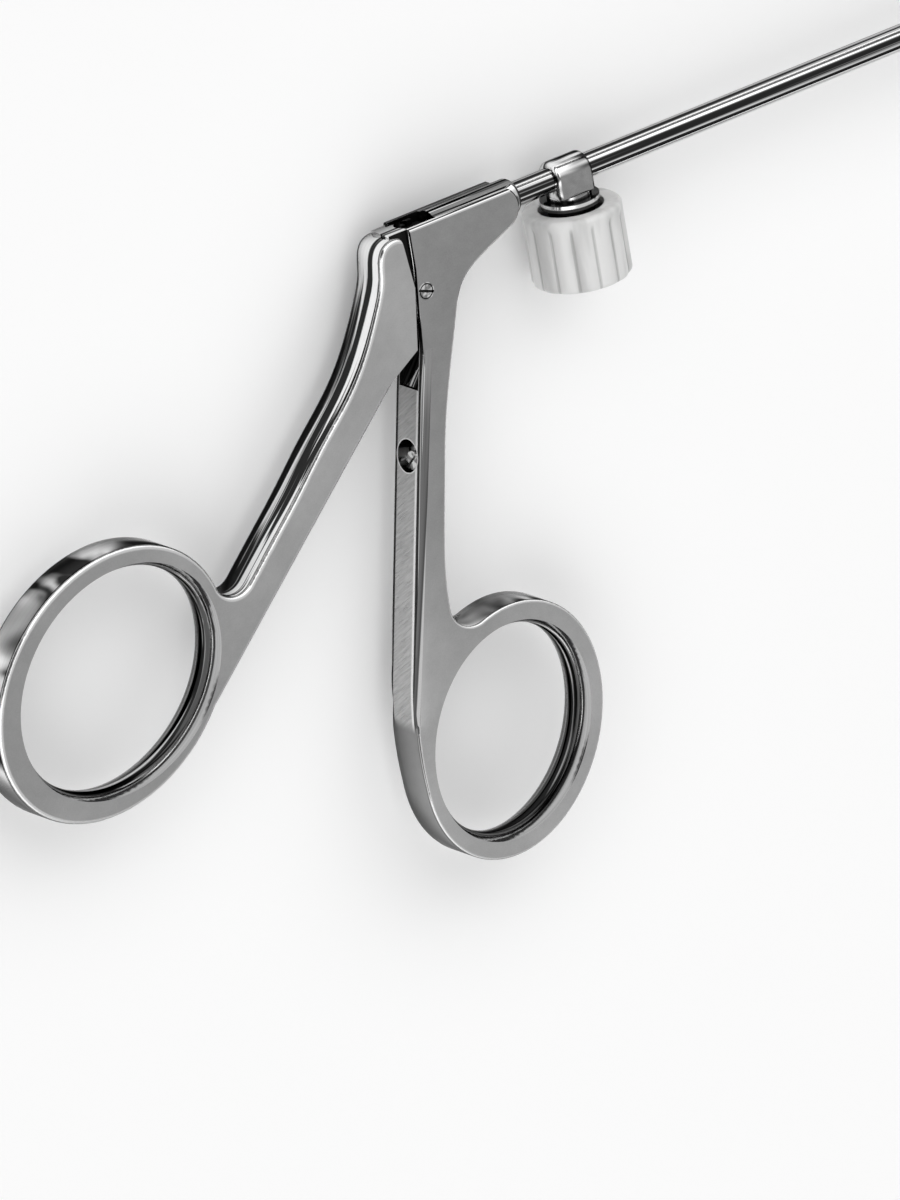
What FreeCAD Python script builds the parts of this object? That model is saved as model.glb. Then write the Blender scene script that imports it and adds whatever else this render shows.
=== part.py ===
import FreeCAD, Part
import math
import os

from FreeCAD import Vector

# Bronchoscopy forceps, modelled piece by piece in millimetres.
# The origin is where the shaft's axis leaves the nose of the handle.
# +X runs along the shaft to the jaws, +Y points away from the finger rings
# and +Z is the flat side of the handle that faces up when it lies on a tray.

# Handle plates
handle_thickness = 5.4
edge_round = 0.4
strip_chamfer = 0.64
shaft_height = 6.1
nose_length = 15.9
barrel_radius = 2.3
nose_round = 0.9
slab_top = 8.0

# Slot between the two cheeks, and the lever's tongue in it
slot_width = 3.8
tongue_gap = 0.1
slot_front = 3.5
slot_floor = -11.8
tongue_radius = 2.6
tongue_arm = 1.7
tongue_top = 7.9

# Rings: centre, half axes and the long axis' angle, all from the pivot
finger_ring_centre = (2.0, -56.8)
finger_hole_centre = (1.8, -56.8)
finger_ring_outer = (15.8, 12.85)
finger_ring_inner = (12.75, 10.5)
finger_ring_angle = 64.0
thumb_ring_centre = (-52.1, -31.65)
thumb_hole_centre = (-51.15, -31.6)
thumb_ring_outer = (17.8, 14.95)
thumb_ring_inner = (14.5, 12.4)
thumb_ring_outer_angle = 32.3
thumb_ring_inner_angle = 28.4
ring_crown = 0.75
ring_web_round = 3.2
thumb_web_round = 2.8
thumb_joint_round = 6.0

# Lever
lever_round = 0.7
lever_swing_deg = 6.0

# Pivot screw and the small parts in the back strip
pivot_head_radius = 1.1
pivot_head_height = 0.45
pivot_shank_radius = 0.8
pivot_slot_angle = -20.0
screw_slot_width = 0.32
screw_slot_depth = 0.25
running_gap = 0.03
recess_place = -19.9
recess_radius = 2.0
recess_depth = 1.6
lock_screw_radius = 1.15
lock_screw_offset = 0.65
lock_screw_length = 1.7
lock_ball_radius = 0.55
lock_ball_offset = 1.3

# Shaft and pull rod
working_length = 350.0
tube_radius = 1.525
tube_bore = 1.05
tube_seat_length = 9.7
rod_radius = 0.55
rod_passage_radius = 0.75
ball_radius = 1.1
ball_gap = 0.04
neck_radius = 0.5
neck_length = 2.4
seal_start = -8.0
seal_length = 2.5
seal_sleeve_length = 3.0
guide_length = 4.0

# Flushing port under the shaft
port_place = 7.9
port_block_length = 5.2
port_block_radius = 2.2
port_block_drop = 2.2
block_corner_round = 0.6
port_hole_radius = 0.8
collar_radius = 2.7
collar_height = 0.6
flange_radius = 3.6
flange_height = 0.9
luer_radius = 2.05
luer_wall = 0.75
luer_mouth = 11.0
lug_reach = 3.85
lug_height = 1.2
lug_width = 3.0

# Cap of the port
cap_rim = 4.0
cap_bottom = 13.2
cap_rim_radius = 5.5
cap_bottom_radius = 5.75
cap_wall = 0.6
cap_floor = 0.9
cap_ribs = 14
cap_rib_height = 0.3
rib_share = 0.8
cap_round = 0.6
cap_lip_radius = 3.95
cap_lip_height = 1.0
cap_collar_inner = 4.0
cap_collar_wall = 0.55
cap_collar_height = 6.0
cap_seal_outer = 3.9
cap_seal_inner = 2.4
cap_seal_gap = 0.1

# Jaw end, in its own frame: x from the end of the tube, y from the shaft's axis
tip_length = 21.8
jaw_length = 12.1
tip_width = 3.1
tip_top = 1.68
tip_bottom = -2.25
tip_corner = 0.5
tip_cone_length = 4.5
tip_cone_radius = 2.7
tip_slot_start = 3.0
tip_slot_width = 1.7
tip_slot_floor = -1.75
spigot_length = 4.0
rim_height = 0.1
rim_gap = 0.1
crown_height = 2.5
crown_lean_deg = 4.6
cup_back = 1.8
cup_half_length = 1.5
cup_half_width = 1.25
cup_depth = 1.9
jaw_pivot_y = 0.7
jaw_opening_deg = 26.0
jaw_boss_radius = 0.8
jaw_pin_radius = 0.45
jaw_side_gap = 0.05
crank_thickness = 0.7
crank_wall = 0.3
drive_pin_radius = 0.35
fork_gap = 0.04
fork_height = 1.02
fork_reach = 0.5
fork_root = 1.82
rod_end = 2.1
rod_tip_overlap = 1.4
rod_tip_top = 0.75

# Sizes that follow from the ones above
half_thickness = handle_thickness / 2
tongue_thickness = slot_width - 2 * tongue_gap
fork_width = tip_slot_width - 2 * jaw_side_gap
tube_end = working_length - tip_length
pivot_reach = working_length - jaw_length
flange_bottom = port_block_drop + collar_height + flange_height
jaw_half_swing = math.radians(jaw_opening_deg / 2)
rod_travel = shaft_height * math.radians(lever_swing_deg)
crank_height = rod_travel / (2 * math.tan(jaw_half_swing))
X_AXIS = Vector(1, 0, 0)
Y_AXIS = Vector(0, 1, 0)
Z_AXIS = Vector(0, 0, 1)
pivot = Vector(-nose_length, -shaft_height, 0)
jaw_pivot = Vector(pivot_reach, jaw_pivot_y, 0)


def at_pivot(x, y, z=0.0):
    """A point given from the handle's pivot."""
    return pivot + Vector(x, y, z)


def at_tip(x, y, z=0.0):
    """A point given from the end of the tube."""
    return Vector(tube_end + x, y, z)


def at_jaw(x, y, z=0.0):
    """A point given along the shaft from the jaws' pivot, and across it from the shaft's axis."""
    return Vector(pivot_reach + x, y, z)


def cylinder(radius, start, end):
    """A round bar from one point to another."""
    return Part.makeCylinder(radius, (end - start).Length, start, end - start)


def ring(outer, inner, start, end):
    """A round bar with a bore."""
    return cylinder(outer, start, end).cut(cylinder(inner, start, end))


def closed_wire(points):
    return Part.makePolygon(points + [points[0]])


def plate(points, thickness):
    """A flat plate about the middle plane, from the corners of its outline."""
    return slab(closed_wire(points), thickness)


def slab(wire, thickness):
    """A flat plate about the middle plane, from its outline."""
    face = Part.Face(wire)
    face.translate(Vector(0, 0, -thickness / 2))
    return face.extrude(Vector(0, 0, thickness))


def arc(start, middle, end):
    return Part.Arc(start, middle, end).toShape()


def smooth(points):
    """One smooth edge through the points."""
    curve = Part.BSplineCurve()
    curve.interpolate(points)
    return curve.toShape()


def oval(centre, half_axes, angle, grow=0.0, level=0.0):
    """An ellipse in a plane parallel to the handle."""
    ellipse = Part.Ellipse(Vector(0, 0, 0), half_axes[0] + grow, half_axes[1] + grow)
    wire = Part.Wire(ellipse.toShape())
    wire.rotate(Vector(0, 0, 0), Z_AXIS, angle)
    wire.translate(at_pivot(centre[0], centre[1], level))
    return wire


def ring_hole(centre, half_axes, angle):
    """The hole of a finger ring, its wall rounded: narrowest in the middle and wider at both faces."""
    sections = []
    for share in (-1.0, -0.5, 0.0, 0.5, 1.0):
        sections.append(oval(centre, half_axes, angle, ring_crown * share ** 2, share * half_thickness))
    return Part.makeLoft(sections, True, False)


def edges_on_faces(shape):
    """Edges that lie in one of the two flat sides of the handle."""
    found = []
    for edge in shape.Edges:
        box = edge.BoundBox
        if box.ZLength < 0.001 and abs(abs(box.ZMin) - half_thickness) < 0.001:
            found.append(edge)
    return found


def upright_edges_near(shape, place, reach):
    """Edges that run through the thickness, within reach of a point."""
    found = []
    for edge in shape.Edges:
        box = edge.BoundBox
        distance = math.hypot(box.Center.x - place.x, box.Center.y - place.y)
        if box.ZLength > handle_thickness - 0.01 and distance < reach:
            if box.XLength < 0.01 and box.YLength < 0.01:
                found.append(edge)
    return found


def fixed_handle_blank():
    """Body of the fixed handle with its finger ring, before the slot and bores."""
    top_back = at_pivot(-0.9, slab_top)
    knee = at_pivot(-0.9, 3.0)
    strip_start = at_pivot(-1.8, -6.9)
    strip_top = at_pivot(-3.2, -12.9)
    strip_end = at_pivot(-10.26, -45.0)
    heel = at_pivot(-11.54, -53.24)
    heel_end = at_pivot(-11.27, -61.61)
    inside_ring = at_pivot(-8.0, -57.0)
    below_web = at_pivot(-4.0, -47.0)
    front = [at_pivot(x, y) for x, y in (
        (13.7, 3.7), (11.4, 2.7), (8.2, 1.3), (5.4, -0.7), (3.7, -4.4),
        (2.0, -9.5), (-0.1, -16.4), (-2.15, -25.9), (-3.5, -33.0), (-3.95, -38.0))]
    nose_top = at_pivot(14.0, slab_top)
    nose_front = at_pivot(14.95, 5.6)
    edges = [
        smooth(front),
        Part.makeLine(front[-1], below_web),
        Part.makeLine(below_web, inside_ring),
        Part.makeLine(inside_ring, heel_end),
        arc(heel_end, heel, strip_end),
        Part.makeLine(strip_end, strip_top),
        Part.makeLine(strip_top, strip_start),
        Part.makeLine(strip_start, knee),
        Part.makeLine(knee, top_back),
        Part.makeLine(top_back, nose_top),
        Part.Arc(nose_top, nose_front, front[0]).toShape(),
    ]
    body = slab(Part.Wire(Part.__sortEdges__(edges)), handle_thickness)
    loop = slab(oval(finger_ring_centre, finger_ring_outer, finger_ring_angle), handle_thickness)
    blank = body.fuse(loop).removeSplitter()
    web = upright_edges_near(blank, at_pivot(-4.0, -44.5), 1.5)
    return blank.makeFillet(ring_web_round, web)


def strip_bevels():
    """Cutters for the two bevels along the back strip of the fixed handle."""
    start = at_pivot(-1.8, -6.9)
    end = at_pivot(-12.05, -53.2)
    run = end - start
    left = Vector(run.y, -run.x, 0).normalize()
    cutters = []
    for side in (-1, 1):
        face_level = Vector(0, 0, side * half_thickness)
        outside = left * strip_chamfer + Vector(0, 0, side * strip_chamfer)
        corners = [
            end - left * strip_chamfer + face_level,
            end - Vector(0, 0, side * strip_chamfer) + face_level,
            end + outside + face_level,
        ]
        foot = Part.Face(closed_wire(corners))
        cutters.append(foot.extrude(start - end - left * strip_chamfer))
    return cutters


def make_fixed_handle():
    """Fixed handle: finger ring, two cheeks with the slot between them, and the barrel."""
    blank = fixed_handle_blank()
    rounded = []
    for edge in edges_on_faces(blank):
        middle = edge.BoundBox.Center - pivot
        if middle.x > -0.5 or middle.y < -56.0 or (middle.x > -4.5 and middle.y < -15.0):
            rounded.append(edge)
    body = blank.makeFillet(edge_round, rounded)
    barrel_end = at_pivot(nose_length, shaft_height)
    barrel = cylinder(barrel_radius, at_pivot(-0.9, shaft_height), barrel_end)
    rim = [edge for edge in barrel.Edges if abs(edge.BoundBox.Center.x - barrel_end.x) < 0.01]
    body = body.fuse(barrel.makeFillet(nose_round, rim))
    slot = plate([at_pivot(x, y) for x, y in (
        (-9.0, 10.0), (slot_front, 10.0), (slot_front, 0.5), (1.2, -7.0),
        (-2.6, slot_floor), (-9.0, slot_floor - 0.8))], slot_width)
    body = body.cut(slot)
    body = body.cut(ring_hole(finger_hole_centre, finger_ring_inner, finger_ring_angle))
    for cutter in strip_bevels():
        body = body.cut(cutter)
    body = body.cut(cylinder(tube_radius, Vector(-tube_seat_length, 0, 0), Vector(1, 0, 0)))
    body = body.cut(cylinder(rod_passage_radius, Vector(-nose_length, 0, 0), Vector(1, 0, 0)))
    head_seat = half_thickness - pivot_head_height
    body = body.cut(cylinder(pivot_head_radius, at_pivot(0, 0, head_seat), at_pivot(0, 0, half_thickness)))
    body = body.cut(cylinder(pivot_shank_radius, at_pivot(0, 0, -half_thickness), at_pivot(0, 0, head_seat)))
    for hole in recess_holes():
        body = body.cut(hole)
    return body


def strip_frame():
    """Middle of the round recess in the back strip, with the directions out of it and along it."""
    top = at_pivot(-3.2, -12.9)
    end = at_pivot(-11.62, -51.2)
    along = (top - end).normalize()
    outward = Vector(-along.y, along.x, 0)
    share = (recess_place + 12.9) / (51.2 - 12.9)
    return top + (top - end) * share, outward, along


def recess_holes():
    """Round recess in the back strip with the holes of the lock screw and its ball."""
    centre, outward, along = strip_frame()
    screw_axis = centre - along * lock_screw_offset
    ball_axis = centre + along * lock_ball_offset
    floor = -recess_depth
    holes = [cylinder(recess_radius, centre + outward * floor, centre + outward)]
    screw_end = screw_axis + outward * (floor - lock_screw_length)
    holes.append(cylinder(lock_screw_radius * 0.7, screw_end, screw_axis))
    holes.append(cylinder(lock_ball_radius, ball_axis + outward * (floor - lock_ball_radius), ball_axis))
    return holes


def screw_slot(centre, axis, length, angle):
    """Cutter for a straight screwdriver slot across a head, its outer face at the centre."""
    box = Part.makeBox(length, screw_slot_width, 2 * screw_slot_depth)
    box.translate(Vector(-length / 2, -screw_slot_width / 2, -screw_slot_depth))
    box.rotate(Vector(0, 0, 0), Z_AXIS, angle)
    box.Placement = FreeCAD.Placement(centre, FreeCAD.Rotation(Z_AXIS, axis)).multiply(box.Placement)
    return box


def make_pivot_screw():
    """Slotted screw that the lever turns on, sunk level with both faces."""
    head_seat = half_thickness - pivot_head_height
    shank = cylinder(pivot_shank_radius, at_pivot(0, 0, -half_thickness), at_pivot(0, 0, head_seat))
    head = cylinder(pivot_head_radius, at_pivot(0, 0, head_seat), at_pivot(0, 0, half_thickness))
    face = at_pivot(0, 0, half_thickness)
    screw = shank.fuse(head)
    return screw.cut(screw_slot(face, Z_AXIS, 3 * pivot_head_radius, pivot_slot_angle))


def make_lock_screw():
    """Slotted screw at the bottom of the recess in the back strip."""
    centre, outward, along = strip_frame()
    axis = centre - along * lock_screw_offset
    seat = axis - outward * recess_depth
    head_top = seat + outward * lock_screw_radius * 0.8
    shank = cylinder(lock_screw_radius * 0.7, seat - outward * lock_screw_length, seat)
    head = cylinder(lock_screw_radius, seat, head_top)
    screw = shank.fuse(head)
    return screw.cut(screw_slot(head_top, outward, 3 * lock_screw_radius, 35.0))


def make_lock_ball():
    """Small ball pressed in beside the lock screw."""
    centre, outward, along = strip_frame()
    place = centre + along * lock_ball_offset - outward * recess_depth
    return Part.makeSphere(lock_ball_radius, place)


def thumb_lever_blank():
    """Full-thickness part of the thumb lever with its ring."""
    pinch = at_pivot(-1.5, 0.9)
    corner = at_pivot(-2.6, -6.6)
    elbow = at_pivot(-5.4, -8.3)
    front_low = at_pivot(-40.5, -41.0)
    back = [at_pivot(x, y) for x, y in (
        (-2.2, 7.3), (-3.6, 7.5), (-4.9, 6.9), (-5.6, 5.6), (-6.0, 3.2), (-7.1, 0.4), (-8.9, -3.0),
        (-11.0, -6.3), (-13.6, -9.4), (-17.8, -13.4), (-22.4, -18.1), (-27.4, -22.9),
        (-32.0, -27.3), (-37.5, -32.4))]
    edges = [
        Part.makeLine(back[0], pinch),
        Part.makeLine(pinch, corner),
        Part.makeLine(corner, elbow),
        Part.makeLine(elbow, front_low),
        Part.makeLine(front_low, back[-1]),
        smooth(back),
    ]
    body = slab(Part.Wire(Part.__sortEdges__(edges)), handle_thickness)
    loop = slab(oval(thumb_ring_centre, thumb_ring_outer, thumb_ring_outer_angle), handle_thickness)
    blank = body.fuse(loop).removeSplitter()
    web = upright_edges_near(blank, at_pivot(-35.5, -30.4), 1.5)
    joint = upright_edges_near(blank, at_pivot(-39.4, -40.0), 1.5)
    return blank.makeFillet(thumb_web_round, web).makeFillet(thumb_joint_round, joint)


def make_thumb_lever():
    """Thumb lever: ring, rounded outer edges, and the tongue with the socket of the rod's ball."""
    blank = thumb_lever_blank()
    rounded = []
    for edge in edges_on_faces(blank):
        if (edge.BoundBox.Center - pivot).x < -5.0:
            rounded.append(edge)
    body = blank.makeFillet(lever_round, rounded)
    web = plate([at_pivot(x, y) for x, y in (
        (-4.0, 7.0), (-0.5, 7.0), (-0.5, -4.6), (-4.5, -5.6))], tongue_thickness)
    arm = plate([at_pivot(x, y) for x, y in (
        (-3.4, tongue_top), (tongue_arm, tongue_top), (tongue_arm, 0), (-3.4, 0))], tongue_thickness)
    half = tongue_thickness / 2
    boss = cylinder(tongue_radius, at_pivot(0, 0, -half), at_pivot(0, 0, half))
    body = body.fuse([web, arm, boss])
    body = body.cut(ring_hole(thumb_hole_centre, thumb_ring_inner, thumb_ring_inner_angle))
    socket_floor = shaft_height - ball_radius - 3 * ball_gap
    socket = cylinder(ball_radius + ball_gap, at_pivot(0, socket_floor), at_pivot(0, slab_top + 1.0))
    body = body.cut(socket)
    neck_slot = plate([at_pivot(x, y) for x, y in (
        (0, socket_floor), (tongue_arm + 1.0, socket_floor),
        (tongue_arm + 1.0, slab_top + 1.0), (0, slab_top + 1.0))], 2 * neck_radius + 2 * ball_gap)
    body = body.cut(neck_slot)
    bore = pivot_shank_radius + running_gap
    return body.cut(cylinder(bore, at_pivot(0, 0, -half_thickness), at_pivot(0, 0, half_thickness)))


def make_rod_ball():
    """Ball end of the pull rod, with its neck."""
    ball = Part.makeSphere(ball_radius, at_pivot(0, shaft_height))
    return ball.fuse(cylinder(neck_radius, at_pivot(0, shaft_height), at_pivot(neck_length, shaft_height)))


def make_pull_rod():
    """Straight rod from the ball's neck to the fork at the jaws."""
    return cylinder(rod_radius, at_pivot(neck_length, shaft_height), at_jaw(-rod_end, 0))


def make_shaft_tube():
    """Outer tube of the shaft, with the flushing hole under the port."""
    tube = ring(tube_radius, tube_bore, Vector(-tube_seat_length, 0, 0), Vector(tube_end, 0, 0))
    return tube.cut(cylinder(port_hole_radius, Vector(port_place, 0, 0), Vector(port_place, -port_block_drop, 0)))


def make_rod_seal():
    """Soft sleeve that keeps fluid out of the handle."""
    start = Vector(seal_start, 0, 0)
    return ring(tube_bore, rod_radius + running_gap, start, start + X_AXIS * seal_length)


def make_seal_sleeve():
    """Metal sleeve that holds the seal in the tube."""
    start = Vector(seal_start + seal_length, 0, 0)
    return ring(tube_bore, rod_radius + running_gap, start, start + X_AXIS * seal_sleeve_length)


def make_rod_guide():
    """Sleeve that centres the rod just behind the jaws."""
    end = at_tip(-spigot_length, 0)
    return ring(tube_bore, rod_radius + running_gap, end - X_AXIS * guide_length, end)


def make_port_block():
    """Saddle brazed round the shaft that carries the flushing port."""
    start = Vector(port_place - port_block_length / 2, 0, 0)
    end = start + X_AXIS * port_block_length
    saddle = cylinder(port_block_radius, start, end)
    lower = Part.makeBox(port_block_length, port_block_drop, 2 * port_block_radius)
    lower.translate(start + Vector(0, -port_block_drop, -port_block_radius))
    block = saddle.fuse(lower).removeSplitter()
    upright = []
    for edge in block.Edges:
        box = edge.BoundBox
        if box.YLength > port_block_drop - 0.01 and box.XLength < 0.01 and box.ZLength < 0.01:
            upright.append(edge)
    block = block.makeFillet(block_corner_round, upright)
    block = block.cut(cylinder(tube_radius, start, end))
    hole_start = Vector(port_place, -tube_radius * 0.8, 0)
    return block.cut(cylinder(port_hole_radius, hole_start, Vector(port_place, -port_block_drop, 0)))


def make_port_collar():
    """Collar and round flange under the port block, with the flushing hole through them."""
    levels = [port_block_drop, port_block_drop + collar_height, flange_bottom]
    spots = [Vector(port_place, -level, 0) for level in levels]
    body = cylinder(collar_radius, spots[0], spots[1]).fuse(cylinder(flange_radius, spots[1], spots[2]))
    return body.cut(cylinder(port_hole_radius, spots[0], spots[2]))


def make_luer_connector():
    """Barrel of the flushing port's female lock connector, with two lugs at its mouth."""
    start = Vector(port_place, -flange_bottom, 0)
    mouth = Vector(port_place, -luer_mouth, 0)
    lugs = cylinder(lug_reach, mouth + Y_AXIS * lug_height, mouth)
    for side in (-1, 1):
        window = Part.makeBox(2 * lug_reach, lug_height, lug_reach)
        shift = lug_width / 2 if side > 0 else -lug_width / 2 - lug_reach
        window.translate(mouth + Vector(-lug_reach, 0, shift))
        lugs = lugs.cut(window)
    body = cylinder(luer_radius + luer_wall, start, mouth).fuse(lugs).removeSplitter()
    return body.cut(cylinder(luer_radius, start, mouth))


def cap_section():
    """Half section of the cap: skirt, rounded edge, closed end and inner collar."""
    x = port_place
    inner_rim = cap_rim_radius - cap_wall
    inner_floor = cap_bottom_radius - cap_wall
    floor = cap_bottom - cap_floor
    slope = (cap_bottom_radius - cap_rim_radius) / (cap_bottom - cap_rim)
    low = cap_bottom - cap_round
    corner = Vector(x + cap_bottom_radius - slope * cap_round, -low, 0)
    swing = cap_round * math.sqrt(0.5)
    arc_middle = Vector(corner.x - cap_round + swing, -low - swing, 0)
    arc_end = Vector(corner.x - cap_round, -cap_bottom, 0)
    outer = [Vector(x + inner_rim, -cap_rim, 0), Vector(x + cap_rim_radius, -cap_rim, 0), corner]
    inner = [
        arc_end, Vector(x, -cap_bottom, 0), Vector(x, -floor, 0),
        Vector(x + cap_collar_inner, -floor, 0),
        Vector(x + cap_collar_inner, -floor + cap_collar_height, 0),
        Vector(x + cap_collar_inner + cap_collar_wall, -floor + cap_collar_height, 0),
        Vector(x + cap_collar_inner + cap_collar_wall, -floor, 0),
        Vector(x + inner_floor, -floor, 0), outer[0]]
    edges = [Part.makeLine(a, b) for a, b in zip(outer, outer[1:])]
    edges.append(Part.Arc(corner, arc_middle, arc_end).toShape())
    edges += [Part.makeLine(a, b) for a, b in zip(inner, inner[1:])]
    return Part.Face(Part.Wire(edges))


def make_port_cap():
    """Ribbed plastic cap that closes the flushing port."""
    axis = Vector(port_place, 0, 0)
    cap = cap_section().revolve(axis, Y_AXIS, 360)
    height = cap_bottom - cap_rim - cap_round
    rib_radius = math.pi * cap_bottom_radius / cap_ribs * rib_share
    ribs = []
    for index in range(cap_ribs):
        angle = 360.0 * (index + 0.5) / cap_ribs
        foot = Vector(port_place, -cap_bottom + cap_round, 0)
        rib = Part.makeCone(rib_radius, rib_radius * 0.96, height, foot, Y_AXIS)
        inward = rib_radius - cap_rib_height
        rib.translate(Vector(cap_bottom_radius - inward, 0, 0))
        rib.rotate(axis, Y_AXIS, angle)
        ribs.append(rib)
    hollow = cylinder(cap_rim_radius - cap_wall / 2, Vector(port_place, -cap_bottom, 0), axis)
    ribs = [rib.cut(hollow) for rib in ribs]
    rim = Vector(port_place, -cap_rim, 0)
    lip = ring(cap_rim_radius - cap_wall / 2, cap_lip_radius, rim - Y_AXIS * cap_lip_height, rim)
    return cap.fuse(ribs + [lip])


def make_cap_seal():
    """Soft ring at the bottom of the cap, just clear of the port's mouth."""
    floor = Vector(port_place, -(cap_bottom - cap_floor), 0)
    return ring(cap_seal_outer, cap_seal_inner, floor, Vector(port_place, -luer_mouth - cap_seal_gap, 0))


def shared(solids):
    """The part of space that all the given solids share."""
    shape = solids[0]
    for other in solids[1:]:
        shape = shape.common(other)
    return shape


def tip_plan():
    """Outline of both jaws from above: straight sides and a round nose, as a tall solid."""
    half = tip_width / 2
    nose = jaw_length - half
    corners = [at_tip(-spigot_length, -5, -half), at_jaw(nose, -5, -half),
               at_jaw(jaw_length, -5, 0), at_jaw(nose, -5, half), at_tip(-spigot_length, -5, half)]
    edges = [
        Part.makeLine(corners[0], corners[1]),
        Part.Arc(corners[1], corners[2], corners[3]).toShape(),
        Part.makeLine(corners[3], corners[4]),
        Part.makeLine(corners[4], corners[0]),
    ]
    return Part.Face(Part.Wire(edges)).extrude(Vector(0, 10, 0))


def round_bottom_section(low, top):
    """Cross-section with a half-round bottom and eased top corners, carried along the jaws."""
    half = tip_width / 2
    a = tip_corner
    bend = a * (1 - math.sqrt(0.5))
    points = {
        "left": at_tip(0, low + half, -half), "bottom": at_tip(0, low, 0), "right": at_tip(0, low + half, half),
        "right_up": at_tip(0, top - a, half), "right_mid": at_tip(0, top - bend, half - bend),
        "right_top": at_tip(0, top, half - a), "left_top": at_tip(0, top, a - half),
        "left_mid": at_tip(0, top - bend, bend - half), "left_up": at_tip(0, top - a, -half),
    }
    edges = [
        Part.Arc(points["left"], points["bottom"], points["right"]).toShape(),
        Part.makeLine(points["right"], points["right_up"]),
        Part.Arc(points["right_up"], points["right_mid"], points["right_top"]).toShape(),
        Part.makeLine(points["right_top"], points["left_top"]),
        Part.Arc(points["left_top"], points["left_mid"], points["left_up"]).toShape(),
        Part.makeLine(points["left_up"], points["left"]),
    ]
    return Part.Face(Part.Wire(edges)).extrude(Vector(tip_length + 1.0, 0, 0))


def cup_hollow(level):
    """Egg-shaped hollow of the spoon-shaped jaws, widest at the given height."""
    scale = FreeCAD.Matrix()
    scale.scale(cup_half_length, cup_depth, cup_half_width)
    egg = Part.makeSphere(1.0).transformGeometry(scale)
    egg.translate(at_jaw(jaw_length - cup_back, level))
    return egg


def make_jaw_housing():
    """Fork of the jaw end with the fixed jaw in one piece, and the spigot into the tube."""
    cheek = [at_jaw(x, y) for x, y in (
        (1.8, tip_top), (3.3, 0.75), (3.9, -0.1), (4.7, -0.6), (5.9, -0.87),
        (7.1, -0.78), (8.1, -0.45), (8.9, rim_height))]
    nose = [at_jaw(jaw_length, rim_height), at_jaw(11.3, -1.45), at_jaw(9.3, tip_bottom)]
    edges = [
        Part.makeLine(at_tip(0, tip_top), cheek[0]),
        smooth(cheek),
        Part.makeLine(cheek[-1], nose[0]),
        Part.Arc(nose[0], nose[1], nose[2]).toShape(),
        Part.makeLine(nose[2], at_tip(0, tip_bottom)),
        Part.makeLine(at_tip(0, tip_bottom), at_tip(0, tip_top)),
    ]
    profile = slab(Part.Wire(Part.__sortEdges__(edges)), 2 * tip_width)
    cone = Part.makeCone(tube_radius, tip_cone_radius, tip_cone_length, at_tip(0, 0), X_AXIS)
    rest = cylinder(tip_cone_radius, at_tip(tip_cone_length, 0), at_tip(tip_length + 1.0, 0))
    envelope = cone.fuse(rest)
    body = shared([profile, round_bottom_section(tip_bottom, tip_top), tip_plan(), envelope])
    body = body.fuse(cylinder(tube_bore, at_tip(-spigot_length, 0), at_tip(0.5, 0)))
    trough = [
        at_tip(tip_slot_start, tip_top + 1.0), at_tip(tip_slot_start, tip_slot_floor + 0.9),
        at_tip(tip_slot_start + 0.9, tip_slot_floor), at_jaw(7.5, tip_slot_floor),
        at_jaw(8.5, tip_slot_floor + 0.8), at_jaw(8.7, tip_top + 1.0)]
    body = body.cut(plate(trough, tip_slot_width))
    body = body.cut(cup_hollow(rim_height))
    body = body.cut(cylinder(rod_radius + running_gap, at_tip(-spigot_length, 0), at_tip(tip_slot_start, 0)))
    half = Vector(0, 0, tip_width)
    return body.cut(cylinder(jaw_pin_radius, jaw_pivot - half, jaw_pivot + half))


def make_moving_jaw():
    """Upper jaw: spoon, window, web and the slotted crank under its pivot, drawn shut and then opened."""
    rim = rim_height + rim_gap
    heel = at_jaw(2.6, 1.52)
    low = at_jaw(5.05, -0.22)
    arch = at_jaw(6.7, 0.72)
    lip = at_jaw(8.9, rim)
    nose = at_jaw(jaw_length, rim)
    brow = at_jaw(8.6, 2.72)
    peak = at_jaw(5.3, 2.75)
    rise = at_jaw(3.9, 1.83)
    edges = [
        arc(heel, at_jaw(4.2, 0.7), low),
        arc(low, at_jaw(5.75, 0.35), arch),
        arc(arch, at_jaw(8.1, 0.84), lip),
        Part.makeLine(lip, nose),
        arc(nose, at_jaw(11.45, 1.75), brow),
        Part.makeLine(brow, peak),
        Part.makeLine(peak, rise),
        Part.makeLine(rise, heel),
    ]
    jaw = slab(Part.Wire(Part.__sortEdges__(edges)), 2 * tip_width)
    thickness = tip_slot_width - 2 * jaw_side_gap
    web = plate([at_jaw(x, y) for x, y in (
        (-0.3, 1.38), (2.8, 1.45), (7.9, 1.8), (8.6, 0.9), (8.4, 0.5), (7.3, 0.1), (7.1, -0.3),
        (6.1, -0.4), (5.65, -1.0), (4.7, -1.45), (2.8, -0.9), (1.0, 0.0), (0.1, 0.0))], thickness)
    half = Vector(0, 0, thickness / 2)
    boss = cylinder(jaw_boss_radius, jaw_pivot - half, jaw_pivot + half)
    for piece in (web, boss, crank_plate()):
        jaw = jaw.fuse(piece)
    crown = round_bottom_section(-crown_height, tip_width)
    crown.rotate(at_tip(0, 0), X_AXIS, 180)
    crown.rotate(at_jaw(9.5, crown_height), Z_AXIS, crown_lean_deg)
    jaw = shared([jaw, tip_plan(), crown]).cut(cup_hollow(rim))
    jaw = jaw.cut(cylinder(jaw_pin_radius + running_gap, jaw_pivot - half, jaw_pivot + half))
    jaw = jaw.cut(crank_slot())
    jaw.rotate(jaw_pivot, Z_AXIS, jaw_opening_deg)
    return jaw


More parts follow.
